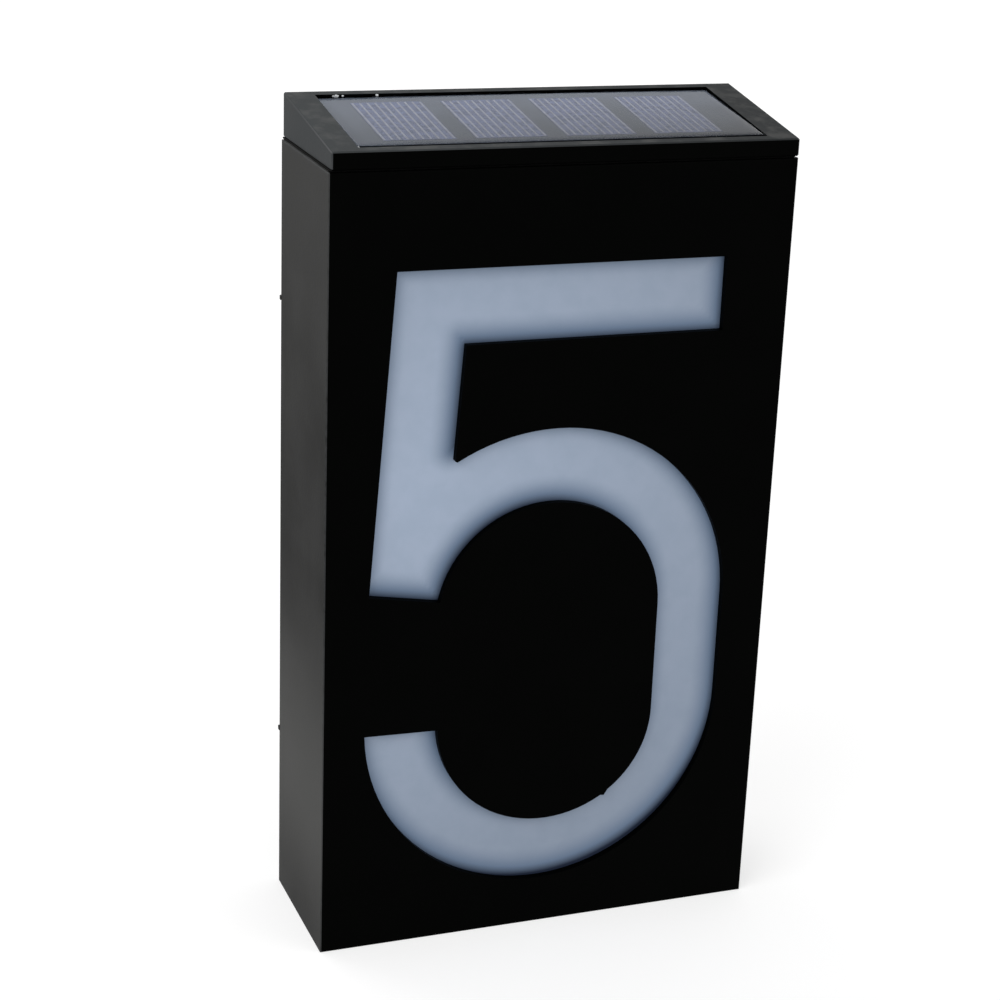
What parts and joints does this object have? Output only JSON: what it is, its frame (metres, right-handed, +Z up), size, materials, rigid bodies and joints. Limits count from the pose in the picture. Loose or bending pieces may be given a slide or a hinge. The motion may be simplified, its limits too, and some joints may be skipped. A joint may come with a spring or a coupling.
{
  "type": "illuminated house number sign",
  "caption": "Upright wall box with a house numeral cut through its front over an opal sheet, lit from inside, and a solar panel set into its sloping top cap.",
  "frame": {"origin": "on the base of the box, under the middle of its width and depth", "axes": "+Z up, +X to the right of someone who looks at the numeral, +Y from the front into the wall"},
  "size_m": [0.1102, 0.0388, 0.1968],
  "materials": {
    "shell": "satin black moulding",
    "opal_sheet": "opal, satin face",
    "tray_white": "white, matte",
    "seal": "soft black",
    "fastener": "plain steel",
    "contact": "nickel plated",
    "circuit_board": "green lacquer",
    "lamp_body": "pale yellow",
    "solar_wafer": "dark blue, smooth",
    "clear_cover": "clear resin",
    "cell_wrap": "plain film over a metal can",
    "ferrite": "dark ceramic",
    "capacitor_can": "film over aluminium",
    "chip_case": "black",
    "switch_plastic": "black",
    "lead_insulation": "red and black"
  },
  "bodies": {
    "box": {"housing": "shell", "rear_cover": "shell", "top_cap": "shell", "diffuser": "opal_sheet", "light_tray": "tray_white", "rear_seal": "seal", "cap_seal": "seal", "lead_grommet": "seal", "panel_tape": "seal", "tray_screws": "fastener", "rear_cover_screws": "fastener", "control_board_screws": "fastener", "cap_screws": "fastener", "battery_leaf": "contact", "battery_spring": "contact", "switch_frame": "contact", "control_board": "circuit_board", "led_strip_left": "circuit_board", "led_strip_right": "circuit_board", "panel_board": "circuit_board", "leds": "lamp_body", "solar_cells": "solar_wafer", "panel_cover": "clear_cover", "battery": "cell_wrap", "choke": "ferrite", "capacitor": "capacitor_can", "control_chip": "chip_case", "switch_body": "switch_plastic", "panel_leads": "lead_insulation", "battery_leads": "lead_insulation", "led_leads": "lead_insulation"},
    "battery_door": {"battery_door": "shell", "door_seal": "seal", "battery_door_screws": "fastener"},
    "switch_knob": {"switch_knob": "switch_plastic"}
  },
  "joints": [
    {"name": "battery_door_lift", "type": "slide", "parent": "box", "child": "battery_door", "axis": [0, 1, 0], "range_m": [0, 0.014]},
    {"name": "switch_slide", "type": "slide", "parent": "box", "child": "switch_knob", "axis": [1, 0, 0], "range_m": [0, 0.003]}
  ]
}
